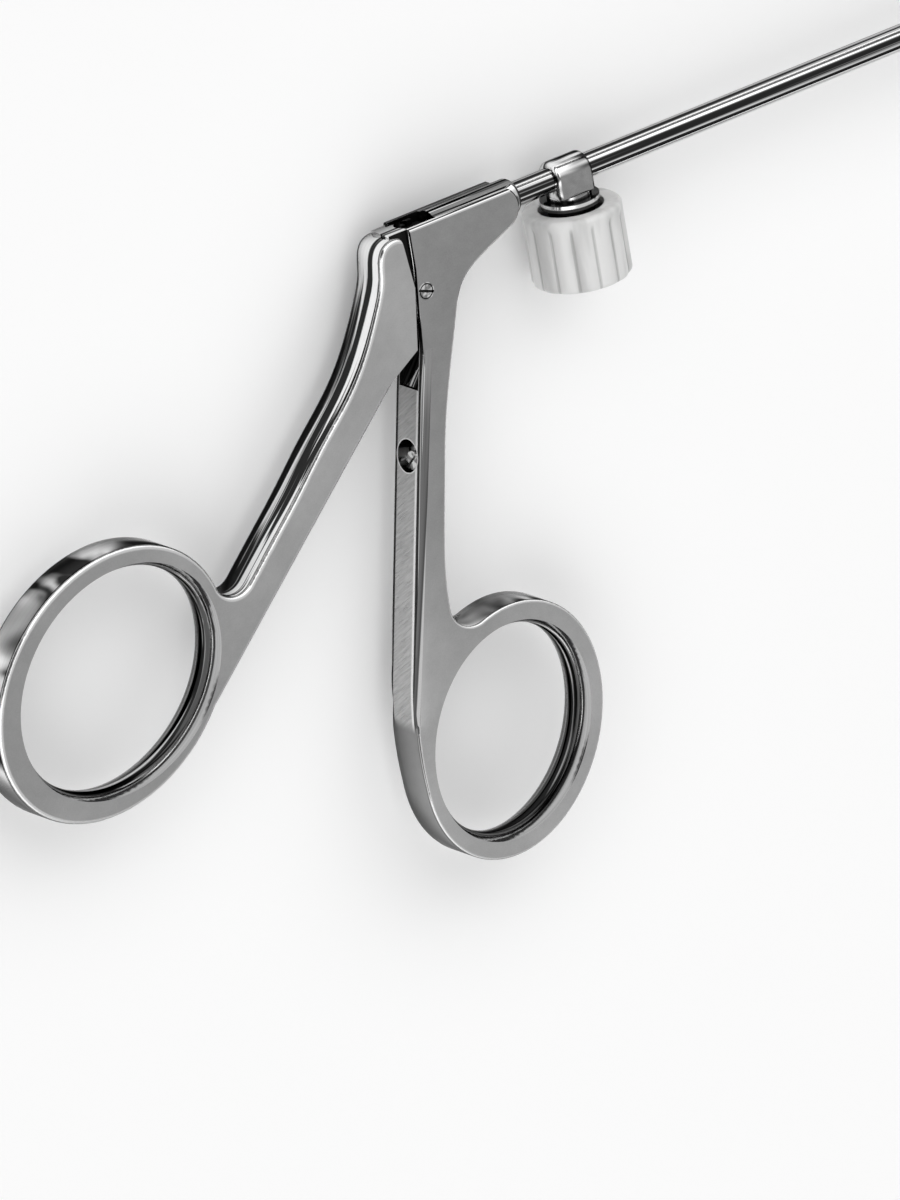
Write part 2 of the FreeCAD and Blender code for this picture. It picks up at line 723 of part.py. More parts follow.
def crank_outline(radius, near, far, thickness):
    """Round-ended bar that points away from the jaw's pivot, at the shut position."""
    half = Vector(0, 0, thickness / 2)
    direction = Vector(-math.sin(jaw_half_swing), -math.cos(jaw_half_swing), 0)
    sideways = Vector(-direction.y, direction.x, 0) * radius
    ends = [jaw_pivot + direction * near, jaw_pivot + direction * far]
    solid = plate([ends[0] + sideways, ends[1] + sideways, ends[1] - sideways, ends[0] - sideways], thickness)
    for end in ends:
        solid = solid.fuse(cylinder(radius, end - half, end + half))
    return solid.removeSplitter()


def crank_plate():
    """Thin plate below the pivot that the rod's fork straddles."""
    far = crank_height / math.cos(jaw_half_swing)
    return crank_outline(drive_pin_radius + running_gap + crank_wall, 0.0, far, crank_thickness)


def crank_slot():
    """Slot in the crank that lets the drive pin keep to its straight path."""
    far = crank_height / math.cos(jaw_half_swing)
    return crank_outline(drive_pin_radius + running_gap, crank_height, far, tip_width)


def make_jaw_pin():
    """Pin that the moving jaw turns on, flush with both cheeks."""
    half = Vector(0, 0, tip_width / 2)
    return cylinder(jaw_pin_radius, jaw_pivot - half, jaw_pivot + half)


def drive_pin_place():
    """Place of the drive pin with the jaws open."""
    return at_jaw(rod_travel / 2, jaw_pivot_y - crank_height)


def make_drive_pin():
    """Pin through the rod's fork that pulls the crank."""
    half = Vector(0, 0, fork_width / 2)
    return cylinder(drive_pin_radius, drive_pin_place() - half, drive_pin_place() + half)


def make_rod_tip():
    """Fork brazed on the end of the rod."""
    pin = drive_pin_place()
    front = rod_travel / 2 + fork_reach
    root = rod_travel / 2 - fork_root
    back = -rod_end - rod_tip_overlap
    low = pin.y - fork_height / 2
    high = pin.y + fork_height / 2
    fork = plate([at_jaw(x, y) for x, y in (
        (back, low), (front, low), (front, high), (root, high), (root, rod_tip_top), (back, rod_tip_top))],
        fork_width)
    gap = plate([at_jaw(x, y) for x, y in (
        (root, low - 1), (front + 1, low - 1), (front + 1, high + 1), (root, high + 1))],
        crank_thickness + 2 * fork_gap)
    fork = fork.cut(gap)
    half = Vector(0, 0, fork_width)
    fork = fork.cut(cylinder(drive_pin_radius, pin - half, pin + half))
    return fork.cut(cylinder(rod_radius, at_tip(0, 0), at_jaw(-rod_end, 0)))


pieces = {
    "fixed_handle": make_fixed_handle,
    "thumb_lever": make_thumb_lever,
    "pivot_screw": make_pivot_screw,
    "lock_screw": make_lock_screw,
    "lock_ball": make_lock_ball,
    "shaft_tube": make_shaft_tube,
    "pull_rod": make_pull_rod,
    "rod_ball": make_rod_ball,
    "rod_tip": make_rod_tip,
    "rod_seal": make_rod_seal,
    "seal_sleeve": make_seal_sleeve,
    "rod_guide": make_rod_guide,
    "port_block": make_port_block,
    "port_collar": make_port_collar,
    "luer_connector": make_luer_connector,
    "port_cap": make_port_cap,
    "cap_seal": make_cap_seal,
    "jaw_housing": make_jaw_housing,
    "moving_jaw": make_moving_jaw,
    "jaw_pin": make_jaw_pin,
    "drive_pin": make_drive_pin,
}

os.makedirs("parts", exist_ok=True)
for name, make in pieces.items():
    shape = make()
    if len(shape.Solids) != 1 or not shape.isValid():
        raise ValueError(name + " is not one sound solid")
    shape.Solids[0].exportStep("parts/" + name + ".step")
    print(name, round(shape.Volume, 3))
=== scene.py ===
"""Bronchoscopy forceps: the finishes of its steel and plastic, its ribbed cap, and the stage."""

import math
from collections import namedtuple

import bmesh
import bpy
import numpy as np
from mathutils import Matrix, Vector


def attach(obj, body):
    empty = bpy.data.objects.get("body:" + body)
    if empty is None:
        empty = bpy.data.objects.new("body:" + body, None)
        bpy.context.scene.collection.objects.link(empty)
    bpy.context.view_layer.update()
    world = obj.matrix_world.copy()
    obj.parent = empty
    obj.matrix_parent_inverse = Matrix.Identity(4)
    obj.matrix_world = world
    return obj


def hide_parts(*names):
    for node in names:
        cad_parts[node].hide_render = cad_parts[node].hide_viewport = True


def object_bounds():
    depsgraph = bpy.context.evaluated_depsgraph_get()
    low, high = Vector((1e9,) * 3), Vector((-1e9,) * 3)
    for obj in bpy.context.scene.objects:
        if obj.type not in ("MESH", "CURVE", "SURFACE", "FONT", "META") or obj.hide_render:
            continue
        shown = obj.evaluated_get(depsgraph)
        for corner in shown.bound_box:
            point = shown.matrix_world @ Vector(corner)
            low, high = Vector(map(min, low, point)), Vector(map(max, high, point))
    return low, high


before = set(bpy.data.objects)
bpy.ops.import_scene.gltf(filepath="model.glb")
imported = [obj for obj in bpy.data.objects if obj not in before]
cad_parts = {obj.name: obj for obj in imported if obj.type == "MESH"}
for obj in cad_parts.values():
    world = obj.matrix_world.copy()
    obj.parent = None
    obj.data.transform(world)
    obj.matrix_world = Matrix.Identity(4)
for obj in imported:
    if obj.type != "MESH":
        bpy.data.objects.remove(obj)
cad_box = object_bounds()

bl_info = {
    "name": "Bronchoscopy forceps",
    "version": (1, 0, 0),
    "blender": (4, 5, 0),
    "location": "View3D > Sidebar > Forceps",
    "description": "Dresses the forceps in satin and polished steel and builds its ribbed cap",
    "category": "Object",
}

MM = 0.001

PIVOT = Vector((-15.9, -6.1, 0.0)) * MM
HALF_THICKNESS = 2.7 * MM
SLOT_FLOOR = -17.9 * MM
FINGER_RING = PIVOT + Vector((2.0, -56.8, 0.0)) * MM
FINGER_RING_RADIUS = 15.8 * MM
FINGER_RING_DULL_SIDE = (-0.93, -0.37, 0.0)
THUMB_RING = PIVOT + Vector((-52.1, -31.65, 0.0)) * MM
THUMB_RING_RADIUS = 17.8 * MM
THUMB_RING_DULL_SIDE = (0.0, -1.0, 0.0)

# The flat strip down the handle's back, the bevel beside it and the round recess in it.
STRIP_OUTWARD = Vector((-38.3, 8.42, 0.0)).normalized()
STRIP_ALONG = Vector((-STRIP_OUTWARD.y, STRIP_OUTWARD.x, 0.0))
STRIP_POINT = Vector((-19.1, -19.0, 0.0)) * MM
BEVEL_OUTWARD = (STRIP_OUTWARD + Vector((0.0, 0.0, 1.0))).normalized()
RECESS = Vector((-20.64, -26.0, 0.0)) * MM

CAP_RIBS = 14
PORT_AXIS_X = 7.9 * MM

CAMERA_RIGHT = Vector((0.7955, -0.156, 0.585))
CAMERA_BACK = Vector((-0.509, 0.353, 0.785)).normalized()
MIRROR_SIDE = Vector((-CAMERA_BACK.x, -CAMERA_BACK.y, CAMERA_BACK.z))
FRAME_CENTRE_RIGHT = 2.765 * MM
FRAME_CENTRE_DOWN = 36.35 * MM
SENSOR_MILLIMETRES = 36.0
CLIP_START = 0.05
CLIP_END = 50.0

# Patterns, in cycles to the metre: one number for all ways, or three along X, Y and Z.
CLOUDS = 110.0
MOTTLE = 900.0
BLAST_GRAIN = 5200.0
HAIRLINES = (60.0, 60.0, 5200.0)
SCRATCHES = (500.0, 4200.0, 380.0)
# The streaks and the patches among these are painted reflections.
WALL_REFLECTION_STREAKS = (34.0, 34.0, 1150.0)
RING_REFLECTION_PATCHES = (150.0, 150.0, 90.0)
TUBE_REFLECTION_STREAKS = (5.0, 1700.0, 1700.0)
DRAW_LINES = (25.0, 5200.0, 5200.0)
SADDLE_REFLECTION_STREAKS = (120.0, 500.0, 900.0)
PORT_DIRT = 900.0
SCREW_DIRT = 1300.0
JAW_REFLECTION_STREAKS = (90.0, 900.0, 900.0)
JAW_LINES = (5200.0, 420.0, 420.0)
JAW_DIRT = 1400.0
PLASTIC_CLOUDS = (380.0, 70.0, 380.0)
PORES = 4200.0
DUST = 2500.0

# Soft borders between finishes, each given by where it starts and where it ends. A band has the
# width of its two soft borders as a third value.
# First how far a normal leans to Z, from 0 on an upright wall to 1 on the flat sides.
FLAT_LEAN = (0.93, 0.99)
# The rim carries a painted highlight.
RIM_LEAN = (0.5, 0.62)
# The curve carries a painted dark reflection.
CURVE_LEAN = (0.28, 0.34)
# The edge line is a painted dark reflection.
PAINTED_EDGE_LINE_LEAN = (0.1, 0.22, 0.05)
# Then the same for a normal and the direction that a face is named by.
STRIP_LEAN = (0.975, 0.995)
BEVEL_LEAN = (0.96, 0.985)
DULL_LEAN = (0.2, 0.45)
# The rim at the nose end gets painted shade.
NOSE_LEAN = (0.2, 0.4)
# Distances from the middle plane of the handle.
TONGUE_SIDE = (1.86 * MM, 1.89 * MM)
# The strip's border here is a painted dark line.
STRIP_SIDE = (1.96 * MM, 2.03 * MM)
CHEEK_INSIDE = (2.2 * MM, 2.4 * MM)
# Heights over that plane, towards the camera.
# Painted shade darkens the walls towards the far rim.
FAR_RIM_SHADE = (-2.5 * MM, -2.2 * MM)
# The rim gets a painted highlight on its near half.
NEAR_HALF_HIGHLIGHT = (-0.5 * MM, 0.5 * MM)
# The strip gets a painted sheen in this band.
STRIP_PAINTED_SHEEN = (1.75 * MM, 1.9 * MM, 0.3 * MM)
# Distances from the plane of the back strip.
STRIP_REACH = (0.25 * MM, 0.45 * MM)
BEVEL_REACH = (2.4 * MM, 2.8 * MM)
# Distances from the recess's axis.
# The edge round the recess is a painted highlight.
RECESS_EDGE_HIGHLIGHT = (2.0 * MM, 2.1 * MM, 0.1 * MM)
# Distances down from the floor of the slot.
RECESS_TOP = (1.6 * MM, 2.6 * MM)
# Down this fade the bevel's painted dark reflection grows darker.
BEVEL_FADE = (-3.4 * MM, 4.6 * MM)
NOSE_FOOT = (-9.9 * MM, -8.9 * MM)
# Distances from the pivot: along X to the tongue's back, and all ways to the rings.
TONGUE_BACK = (-0.9 * MM, -0.6 * MM)
# Over this reach a painted light gradient runs from the tone at the pivot to the tone at the ring.
PAINTED_GRADIENT_REACH = (20.0 * MM, 60.0 * MM)
# Distances at a ring: beyond its outer wall, above its centre, and outward along a normal.
RING_WALL_SOFT = 1.5 * MM
DULL_TOP = 13.0 * MM
DULL_SOFT = 1.0 * MM
OUTWARD = (0.0, 1.0 * MM)

# The flushing port, by depth under the shaft's axis, and the cap's outer wall, by radius.
FLANGE_TOP = (2.5 * MM, 2.75 * MM)
# The band at the flange's rim is a painted highlight.
FLANGE_RIM_HIGHLIGHT = (2.95 * MM, 3.25 * MM, 0.12 * MM)
CAP_OUTER_WALL = (5.2 * MM, 5.4 * MM)

# The pivot screw, by radius and by height, and the marks that turning left on it.
# The groove and the slot are dark with painted shade.
SCREW_GROOVE_SHADE = (0.84 * MM, 0.96 * MM, 0.04 * MM)
SCREW_SLOT_SHADE = (2.0 * MM, 2.5 * MM, 0.06 * MM)
TURNING_PITCH = 0.12 * MM

# Heights of the handle's fine relief.
HAIRLINE_RELIEF = 0.006 * MM
SCRATCH_RELIEF = 0.005 * MM
BLAST_RELIEF = 0.0025 * MM

# How near corners are joined, how thin a triangle is dropped, and how far faces turn at a crease.
JOIN_DISTANCE = 0.0004 * MM
THIN_TRIANGLE = 0.0002 * MM
CREASE_DEG = 38.0
JAW_CREASE_DEG = 22.0

# Points on the cap: round a rib, round an edge of its section and down its wall.
RIB_POINTS = 16
EDGE_POINTS = 7
WALL_POINTS = 25

Half = namedtuple("Half", "material tone ring_tone ring_centre ring_radius dull_side has_tongue")


class Signal:
    """One output of a shader node. The usual operators add Math nodes."""

    def __init__(self, shader, socket):
        self.shader = shader
        self.socket = socket

    def _maths(self, operation, *values):
        return self.shader.node("ShaderNodeMath", {"operation": operation}, dict(enumerate(values)))

    def __add__(self, other):
        return self._maths("ADD", self, other)

    def __radd__(self, other):
        return self._maths("ADD", other, self)

    def __sub__(self, other):
        return self._maths("SUBTRACT", self, other)

    def __rsub__(self, other):
        return self._maths("SUBTRACT", other, self)

    def __mul__(self, other):
        return self._maths("MULTIPLY", self, other)

    def __rmul__(self, other):
        return self._maths("MULTIPLY", other, self)

    def __abs__(self):
        return self._maths("ABSOLUTE", self)

    def at_most(self, other):
        return self._maths("MINIMUM", self, other)

    def at_least(self, other):
        return self._maths("MAXIMUM", self, other)

    def sine(self):
        return self._maths("SINE", self)

    def cosine(self):
        return self._maths("COSINE", self)

    def root(self):
        return self._maths("SQRT", self)

    def angle_to(self, other):
        """The angle whose tangent is self over other."""
        return self._maths("ARCTAN2", self, other)

    def ramp(self, low, high):
        """Smooth step: 0 below low and 1 above high."""
        settings = {"interpolation_type": "SMOOTHSTEP"}
        return self.shader.node("ShaderNodeMapRange", settings, {0: self, 1: low, 2: high})

    def band(self, low, high, soft):
        """1 between low and high and 0 outside, with soft borders."""
        return self.ramp(low - soft, low) * (1.0 - self.ramp(high, high + soft))


class Shader:
    """A material's node tree with one Principled BSDF."""

    def __init__(self, name):
        self.material = bpy.data.materials.new(name)
        self.material.use_nodes = True
        self.tree = self.material.node_tree
        self.surface = self.tree.nodes["Principled BSDF"]
        self.place = self.node("ShaderNodeTexCoord", {}, {}, "Object")
        self.normal = self.node("ShaderNodeTexCoord", {}, {}, "Normal")

    def node(self, kind, settings, sockets, output=0):
        """Adds a node, applies its settings, fills its sockets and returns one output. Sockets and
        the output go by name, or by number where a node has several of one name."""
        node = self.tree.nodes.new(kind)
        for key, value in settings.items():
            setattr(node, key, value)
        for key, value in sockets.items():
            self.fill(node.inputs[key], value)
        return Signal(self, node.outputs[output])

    def fill(self, socket, value):
        """Links a signal to a socket, or sets the socket to a plain value."""
        if isinstance(value, Signal):
            self.tree.links.new(value.socket, socket)
        else:
            socket.default_value = value

    def axis(self, vector, index):
        """One component of a vector, 0 for X to 2 for Z."""
        return self.node("ShaderNodeSeparateXYZ", {}, {"Vector": vector}, index)

    def dot(self, vector, direction):
        """How far a vector reaches along a fixed direction."""
        settings = {"operation": "DOT_PRODUCT"}
        sockets = {0: vector, 1: tuple(direction)}
        return self.node("ShaderNodeVectorMath", settings, sockets, "Value")

    def speckle(self, cycles, detail=3.0, roughness=0.5):
        """Fractal noise from 0 to 1 that is alike all ways, with so many cycles to the metre."""
        return self.node("ShaderNodeTexNoise", {}, {
            "Vector": self.place, "Scale": cycles, "Detail": detail, "Roughness": roughness})

    def streaks(self, cycles, detail=3.0, roughness=0.5, distortion=0.0, turn=0.0):
        """Fractal noise from 0 to 1 with its own cycles to the metre along X, Y and Z, which are
        first turned about X by an angle."""
        place = self.place
        if turn:
            sockets = {"Vector": place, "Rotation": (turn, 0.0, 0.0)}
            place = self.node("ShaderNodeMapping", {}, sockets)
        stretched = self.node("ShaderNodeMapping", {}, {"Vector": place, "Scale": cycles})
        return self.node("ShaderNodeTexNoise", {}, {
            "Vector": stretched, "Scale": 1.0, "Detail": detail, "Roughness": roughness,
            "Distortion": distortion})

    def grey(self, value):
        """The colour whose three channels are one value."""
        return self.node("ShaderNodeCombineColor", {}, {0: value, 1: value, 2: value})

    def mix_colour(self, factor, first, second):
        """The first colour where the factor is 0 and the second where it is 1. A Mix node's sockets
        6 and 7, and its output 2, are those for colours."""
        sockets = {0: factor, 6: first, 7: second}
        return self.node("ShaderNodeMix", {"data_type": "RGBA"}, sockets, 2)

    def bump(self, height):
        """Feeds a height in metres to the surface's normal."""
        sockets = {"Strength": 1.0, "Distance": 1.0, "Height": height}
        self.set(Normal=self.node("ShaderNodeBump", {}, sockets))

    def set(self, **sockets):
        """Feeds or sets the surface's own sockets, named with underscores for blanks."""
        for name, value in sockets.items():
            self.fill(self.surface.inputs[name.replace("_", " ")], value)

    def metal(self, tone, rough, settings):
        """Bare steel of a grey tone that is darker where it is seen almost edge on."""
        edge = grey4(settings.edge_tone)
        self.set(Base_Color=self.grey(tone), Roughness=rough, Metallic=1.0, Specular_Tint=edge)


class SkyShader(Shader):
    """The world's node tree. Its texture coordinate is the direction looked in."""

    def __init__(self, world):
        self.tree = world.node_tree
        self.background = self.tree.nodes["Background"]
        self.direction = self.node("ShaderNodeTexCoord", {}, {}, "Generated")


def grey4(value):
    """A grey with full alpha."""
    return (value, value, value, 1.0)


def between(mask, low, high):
    """low where the mask is 0 and high where it is 1. Either may be a number or a signal."""
    if isinstance(low, Signal) or isinstance(high, Signal):
        return mask * high + (1.0 - mask) * low
    return low + (high - low) * mask


def length(across, along):
    """How long the vector with these two components is."""
    return (across * across + along * along).root()


def painted_reflection_tone(settings, streaks):
    """Polished steel with painted reflections: dark where the streaks are 0 and bright where they
    are 1.
    """
    return settings.painted_streak_dark + settings.polished_tone * streaks


class HandleShader(Shader):
    """Shader of one half of the handle. Its masks are 1 where a finish is, and 0 elsewhere."""

    def __init__(self, half, settings):
        super().__init__(half.material)
        self.half = half
        self.settings = settings
        self.x = self.axis(self.place, 0)
        self.y = self.axis(self.place, 1)
        self.z = self.axis(self.place, 2)
        self.normal_x = self.axis(self.normal, 0)
        self.lean = abs(self.axis(self.normal, 2))
        self.below_slot = SLOT_FLOOR - self.y
        self.clouds = self.speckle(CLOUDS, detail=4.0, roughness=0.6)
        self.grain = self.speckle(BLAST_GRAIN, detail=2.0)
        self.hairlines = self.streaks(HAIRLINES, detail=2.0)
        scratches = self.streaks(SCRATCHES, roughness=0.6, turn=settings.scratch_angle)
        self.scratches = scratches.ramp(0.25, 0.75)
        self.flat = self.lean.ramp(*FLAT_LEAN)
        self.mask_back()
        self.mask_ring()

    def mask_back(self):
        """The strip down the back and the bevel beside it, within reach of the strip's plane."""
        from_plane = abs(self.dot(self.place, STRIP_OUTWARD) - STRIP_POINT.dot(STRIP_OUTWARD))
        strip = self.dot(self.normal, STRIP_OUTWARD).ramp(*STRIP_LEAN)
        self.strip = strip * (1.0 - from_plane.ramp(*STRIP_REACH))
        bevel = self.dot(self.normal, BEVEL_OUTWARD).ramp(*BEVEL_LEAN)
        self.bevel = bevel * (1.0 - from_plane.ramp(*BEVEL_REACH))

    def mask_ring(self):
        """The ring's outer wall, and the side of it that is polished dull."""
        half = self.half
        across = self.x - half.ring_centre.x
        along = self.y - half.ring_centre.y
        outward = (across * self.normal_x + along * self.axis(self.normal, 1)).ramp(*OUTWARD)
        near = 1.0 - length(across, along).ramp(half.ring_radius, half.ring_radius + RING_WALL_SOFT)
        self.ring_wall = near * outward
        low = (half.ring_centre.y + DULL_TOP - self.y).ramp(-DULL_SOFT, 0.0)
        self.dull = self.dot(self.normal, half.dull_side).ramp(*DULL_LEAN) * outward * low

    def slot_shade_mask(self):
        """Painted shade on the cheeks' inner faces down to the recess, and on the tongue that turns
        between them.
        """
        from_middle = abs(self.z)
        above_recess = 1.0 - self.below_slot.ramp(*RECESS_TOP)
        inner = self.flat * (1.0 - from_middle.ramp(*CHEEK_INSIDE)) * above_recess
        if not self.half.has_tongue:
            return inner
        tongue = (1.0 - from_middle.ramp(*TONGUE_SIDE)) * (self.x - PIVOT.x).ramp(*TONGUE_BACK)
        return inner.at_least(tongue)

    def satin_tone(self):
        """Blasted sides: cloudy, mottled and grainy, with a painted light gradient from one tone at
        the pivot to another at the ring."""
        from_pivot = length(self.x - PIVOT.x, self.y - PIVOT.y)
        tone = between(from_pivot.ramp(*PAINTED_GRADIENT_REACH), self.half.tone, self.half.ring_tone)
        mottle = self.speckle(MOTTLE, roughness=0.6)
        return tone * (0.73 + 0.4 * self.clouds + 0.14 * mottle) + 0.09 * (self.grain - 0.5)

    def wall_tone(self):
        """Polished walls: painted reflections in long streaks, or in broad patches on the ring,
        with a painted dark line near each edge. Painted shade darkens them towards the far rim, and
        one side of the ring is dull."""
        streaks = self.streaks(WALL_REFLECTION_STREAKS, detail=2.0, distortion=0.25).ramp(0.465, 0.535)
        patches = self.streaks(RING_REFLECTION_PATCHES, detail=2.0, distortion=0.6).ramp(0.4, 0.62)
        painted_edge_line = self.lean.band(*PAINTED_EDGE_LINE_LEAN)
        bright = painted_reflection_tone(self.settings, between(self.ring_wall, streaks, patches))
        bright = bright * between(self.hairlines, 0.85, 1.15) * between(painted_edge_line, 1.0, 0.15)
        bright = bright * between(self.z.ramp(*FAR_RIM_SHADE), 0.08, 1.0)
        dull = between(self.clouds, 0.17, 0.39) * between(painted_edge_line, 1.0, 0.4)
        return between(self.dull, bright, dull)

    def rim_highlight_tone(self):
        """The thin rim round the satin sides: a painted highlight on the near half, and painted
        shade on the far half and at the nose."""
        nose_shade = self.normal_x.ramp(*NOSE_LEAN) * (1.0 - self.below_slot.ramp(*NOSE_FOOT))
        painted_highlight = self.z.ramp(*NEAR_HALF_HIGHLIGHT) * (1.0 - nose_shade)
        return between(painted_highlight, 0.1, self.settings.rim_highlight_tone)

    def strip_tone(self):
        """The back strip: scratched, with a painted sheen along its near edge, a painted dark
        border, and a painted highlight round the recess."""
        sheen = self.z.band(*STRIP_PAINTED_SHEEN)
        tone = between(sheen, between(self.scratches, 0.38, 0.56), 0.9)
        tone = tone * between(abs(self.z).ramp(*STRIP_SIDE), 1.0, 0.1)
        along_strip = self.dot(self.place, STRIP_ALONG) - RECESS.dot(STRIP_ALONG)
        recess_highlight = length(along_strip, self.z).band(*RECESS_EDGE_HIGHLIGHT)
        return between(recess_highlight, tone, self.settings.rim_highlight_tone)

    def bevel_tone(self):
        """The bevel: a painted dark reflection, darker down its length."""
        return between(self.below_slot.ramp(*BEVEL_FADE), 0.13, 0.06) + 0.05 * self.hairlines

    def roughness(self):
        """Satin on the flat sides, near a mirror on the walls, and in between where it is dull or
        scratched."""
        satin = self.settings.satin_roughness * between(self.clouds, 0.9, 1.1)
        polished = self.settings.polished_roughness * between(self.hairlines, 0.7, 1.3)
        rough = between(self.flat, polished, satin)
        rough = between(self.dull * (1.0 - self.flat), rough, 0.3)
        return between(self.strip, rough, between(self.scratches, 0.24, 0.4))

    def relief(self):
        """Fine relief of each finish, and walls that bulge a little. Their surface falls off with
        the square of the distance from the middle plane. At the edges it slopes by the swell."""
        hairlines = HAIRLINE_RELIEF * self.hairlines
        fine = between(self.strip, hairlines, SCRATCH_RELIEF * self.scratches)
        fine = between(self.flat, fine, BLAST_RELIEF * self.grain)
        bulge = self.z * self.z * (-0.5 * self.settings.swell / HALF_THICKNESS)
        return fine + bulge * (1.0 - self.strip)


def forged_steel(half, settings):
    """Steel of one half of the handle: satin sides, polished walls with painted reflections, a
    painted dark curve and a painted highlight on the rim between them, a scratched back strip with
    its bevel, and painted shade on the inner faces."""
    shader = HandleShader(half, settings)
    # The curve between the walls and the rim gets a painted dark reflection.
    painted_curve_reflection = between(shader.hairlines, 0.16, 0.32)
    tone = between(shader.lean.ramp(*CURVE_LEAN), shader.wall_tone(), painted_curve_reflection)
    tone = between(shader.lean.ramp(*RIM_LEAN), tone, shader.rim_highlight_tone())
    tone = between(shader.flat, tone, shader.satin_tone())
    tone = between(shader.strip, tone, shader.strip_tone())
    tone = between(shader.bevel, tone, shader.bevel_tone())
    # Painted shade darkens the inner faces of the slot.
    tone = between(shader.slot_shade_mask(), tone, 0.02)
    shader.metal(tone, shader.roughness(), settings)
    shader.bump(shader.relief())
    return shader.material


def drawn_steel(name, settings):
    """Drawn and polished tube: painted reflections in long streaks, and faint draw lines along
    the shaft.
    """
    shader = Shader(name)
    streaks = shader.streaks(TUBE_REFLECTION_STREAKS, detail=2.0, distortion=0.2).ramp(0.43, 0.54)
    lines = shader.streaks(DRAW_LINES, roughness=0.6)
    tone = painted_reflection_tone(settings, streaks) * between(lines, 0.85, 1.15)
    shader.metal(tone, settings.tube_roughness * between(lines, 0.8, 1.3), settings)
    shader.bump(0.004 * MM * lines)
    return shader.material


def port_steel(name, settings):
    """Flushing port: painted reflections in streaks that follow the shaft on the saddle, and a
    flange darkened with painted shade, with a painted highlight round its rim and a little
    painted light where it faces the shaft."""
    shader = Shader(name)
    depth = -1.0 * shader.axis(shader.place, 1)
    streaks = shader.streaks(SADDLE_REFLECTION_STREAKS, detail=2.0, distortion=0.4).ramp(0.42, 0.58)
    dirt = shader.speckle(PORT_DIRT)
    flat = abs(shader.axis(shader.normal, 2)).ramp(0.9, 0.98)
    painted_light_facing_up = shader.axis(shader.normal, 1).ramp(0.8, 0.95)
    saddle = between(flat, painted_reflection_tone(settings, streaks), between(dirt, 0.26, 0.46))
    # The flange is painted dark as shade, with a painted highlight at its rim and painted light on
    # faces turned to the shaft.
    flange = 0.07 + 0.8 * depth.band(*FLANGE_RIM_HIGHLIGHT) + 0.16 * painted_light_facing_up * dirt
    tone = between(depth.ramp(*FLANGE_TOP), saddle, flange)
    shader.metal(tone, settings.tube_roughness * between(dirt, 0.7, 1.3), settings)
    shader.bump(0.004 * MM * dirt)
    return shader.material


def screw_steel(name, settings):
    """Turned screws and pins: polished, with painted shade as a dark groove inside the pivot
    screw's rim and as a dark slot."""
    shader = Shader(name)
    radius = length(shader.axis(shader.place, 0) - PIVOT.x, shader.axis(shader.place, 1) - PIVOT.y)
    turning = (radius * (2.0 * math.pi / TURNING_PITCH)).sine() * 0.5 + 0.5
    dirt = shader.speckle(SCREW_DIRT)
    groove = radius.band(*SCREW_GROOVE_SHADE)
    slot = abs(shader.axis(shader.place, 2)).band(*SCREW_SLOT_SHADE)
    tone = between(dirt.ramp(0.42, 0.56), 0.3, 0.9) * between(turning, 0.9, 1.0)
    tone = tone * between(groove.at_least(slot), 1.0, 0.05)
    shader.metal(tone, settings.tube_roughness * between(dirt, 0.8, 1.2), settings)
    shader.bump(0.003 * MM * turning + 0.004 * MM * dirt)
    return shader.material


def milled_steel(name, settings):
    """Small milled pieces of the jaws: dark ground flats, and painted reflections in streaks on
    what is round.
    """
    shader = Shader(name)
    lines = shader.streaks(JAW_LINES, roughness=0.6)
    dirt = shader.speckle(JAW_DIRT)
    streaks = shader.streaks(JAW_REFLECTION_STREAKS, detail=2.0, distortion=0.4).ramp(0.38, 0.55)
    flat = abs(shader.axis(shader.normal, 2)).ramp(0.9, 0.99)
    tone = between(flat, painted_reflection_tone(settings, streaks), 0.05 + 0.1 * lines + 0.06 * dirt)
    rough = between(flat, settings.jaw_round_roughness, settings.jaw_roughness)
    shader.metal(tone, rough * between(lines, 0.8, 1.2), settings)
    shader.bump(0.003 * MM * lines + 0.002 * MM * dirt)
    return shader.material


def moulded_plastic(name, settings):
    """White moulded plastic: cloudy depth, a soft gloss, and painted shade in the grooves
    between the ribs. A groove is where the cosine of the ribs' count times the angle round the
    axis is near 1."""
    shader = Shader(name)
    across = shader.axis(shader.place, 0) - PORT_AXIS_X
    height = shader.axis(shader.place, 2)
    depth = -1.0 * shader.axis(shader.place, 1)
    clouds = shader.streaks(PLASTIC_CLOUDS)
    pores = shader.speckle(PORES, detail=2.0)
    groove_start = settings.rim + settings.edge
    # The grooves between the ribs are darkened with painted shade.
    wave = (height.angle_to(across) * float(CAP_RIBS)).cosine()
    groove = wave.ramp(0.8, 1.0) * length(across, height).ramp(*CAP_OUTER_WALL)
    groove = groove * depth.ramp(groove_start, groove_start + settings.run_out)
    shade = (0.7 * groove + 0.6 * clouds.ramp(0.38, 0.68)).at_most(1.0)
    plain = tuple(settings.colour) + (1.0,)
    shaded_colour = tuple(settings.shade * channel for channel in settings.colour) + (1.0,)
    rough = 0.26 + 0.12 * pores + 0.08 * clouds
    shader.set(Base_Color=shader.mix_colour(shade, plain, shaded_colour), Roughness=rough)
    shader.set(Subsurface_Weight=0.3, Subsurface_Radius=(1.0, 1.0, 1.0), Subsurface_Scale=0.8 * MM)
    shader.bump(0.008 * MM * pores + 0.02 * MM * clouds)
    return shader.material


def soft_rubber(name):
    """Grey seal material with a dull, slightly dusty skin."""
    shader = Shader(name)
    dust = shader.speckle(DUST)
    tone = between(dust, 0.05, 0.09)
    shader.set(Base_Color=shader.grey(tone), Roughness=between(dust, 0.6, 0.85))
    shader.bump(0.01 * MM * dust)
    return shader.material


